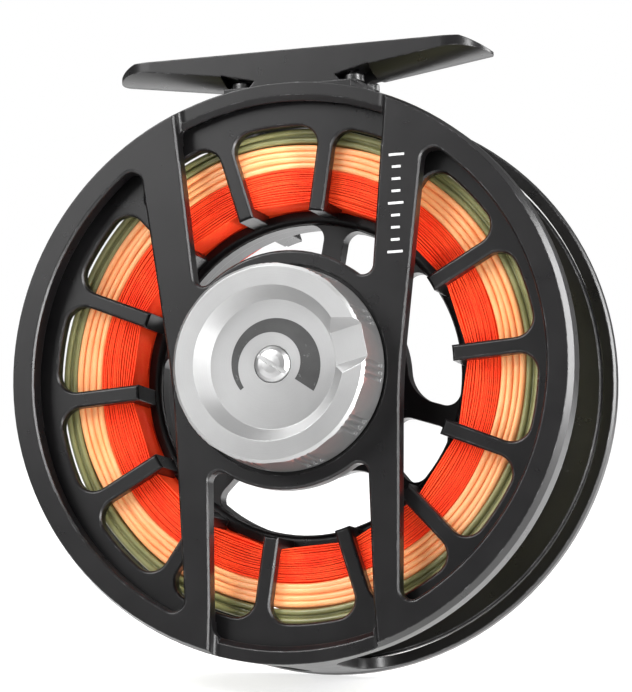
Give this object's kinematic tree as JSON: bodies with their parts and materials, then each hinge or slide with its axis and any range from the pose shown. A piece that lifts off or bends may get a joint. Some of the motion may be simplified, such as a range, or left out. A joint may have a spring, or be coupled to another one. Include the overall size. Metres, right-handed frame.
{
  "type": "fly reel",
  "caption": "Large-arbor fly reel: open two-ring frame, spoked spool with line, sealed disc drag set by a front knob, rear handle and a foot for a rod's reel seat.",
  "frame": {"origin": "centre of the foot's flat seat face", "axes": "+Z out of the seat towards the rod, +X along the foot, +Y along the axle from the drag knob's side to the handle's side"},
  "size_m": [0.0964, 0.0633, 0.1035],
  "materials": {
    "black_anodised": "matte hard anodised aluminium, near black",
    "silver": "satin machined aluminium",
    "steel": "polished stainless steel",
    "brass": "machined brass",
    "rubber": "black nitrile rubber",
    "carbon": "woven carbon fibre friction disc",
    "acetal": "black acetal",
    "backing_braid": "braided red-orange backing",
    "line_peach": "peach coated fly line",
    "line_olive": "olive coated fly line"
  },
  "bodies": {
    "frame": {"frame": "black_anodised", "foot": "black_anodised", "foot_screws": "steel", "spindle": "steel", "knob_screw": "steel", "knob_o_ring": "rubber", "detent_ball": "steel", "detent_spring": "steel", "drag_springs": "steel", "housing_washer": "steel", "carbon_washers": "carbon", "drag_cover": "silver", "cover_seal": "rubber", "bearing_inner_races": "steel", "thrust_washer": "acetal", "pawl_post": "steel"},
    "drag_knob": {"drag_knob": "silver", "drag_nut": "brass"},
    "pressure_plate": {"thrust_ring": "silver", "thrust_pins": "steel", "pressure_plate": "silver"},
    "drag_rotor": {"drag_rotor": "steel", "rotor_washer": "steel"},
    "spool": {"spool": "black_anodised", "backing": "backing_braid", "fly_line": "line_peach", "tip_line": "line_olive", "clutch_shell": "steel", "clutch_rollers": "steel", "bearing_outer_races": "steel", "bearing_balls": "steel", "click_gear": "steel", "handle_post": "steel", "handle_screw": "steel", "counterweight": "silver"},
    "handle": {"handle_knob": "acetal", "handle_bush": "acetal"},
    "spool_cap": {"spool_cap": "black_anodised", "cap_o_ring": "rubber"},
    "click_pawl": {"click_pawl": "steel"}
  },
  "joints": [
    {"name": "spool_spin", "type": "hinge", "parent": "frame", "child": "spool", "pos_m": [0, 0, -0.0552], "axis": [0, 1, 0], "continuous": true},
    {"name": "rotor_spin", "type": "hinge", "parent": "frame", "child": "drag_rotor", "pos_m": [0, 0, -0.0552], "axis": [0, 1, 0], "continuous": true},
    {"name": "handle_spin", "type": "hinge", "parent": "spool", "child": "handle", "pos_m": [-0.03674, 0, -0.05725], "axis": [0, 1, 0], "continuous": true},
    {"name": "knob_turn", "type": "hinge", "parent": "frame", "child": "drag_knob", "pos_m": [0, 0, -0.0552], "axis": [0, 1, 0], "range_deg": [0, 300]},
    {"name": "drag_press", "type": "slide", "parent": "frame", "child": "pressure_plate", "axis": [0, 1, 0], "range_m": [0, 0.0005]},
    {"name": "cap_turn", "type": "hinge", "parent": "frame", "child": "spool_cap", "pos_m": [0, 0, -0.0552], "axis": [0, -1, 0], "range_deg": [0, 720]},
    {"name": "pawl_rock", "type": "hinge", "parent": "frame", "child": "click_pawl", "pos_m": [0, 0, -0.0413], "axis": [0, 1, 0], "range_deg": [-1, 1]}
  ],
  "couplings": [
    {"joint": "rotor_spin", "follows": "spool_spin", "ratio": 1},
    {"joint": "drag_press", "follows": "knob_turn", "m_per_rad": 0.000095483}
  ]
}
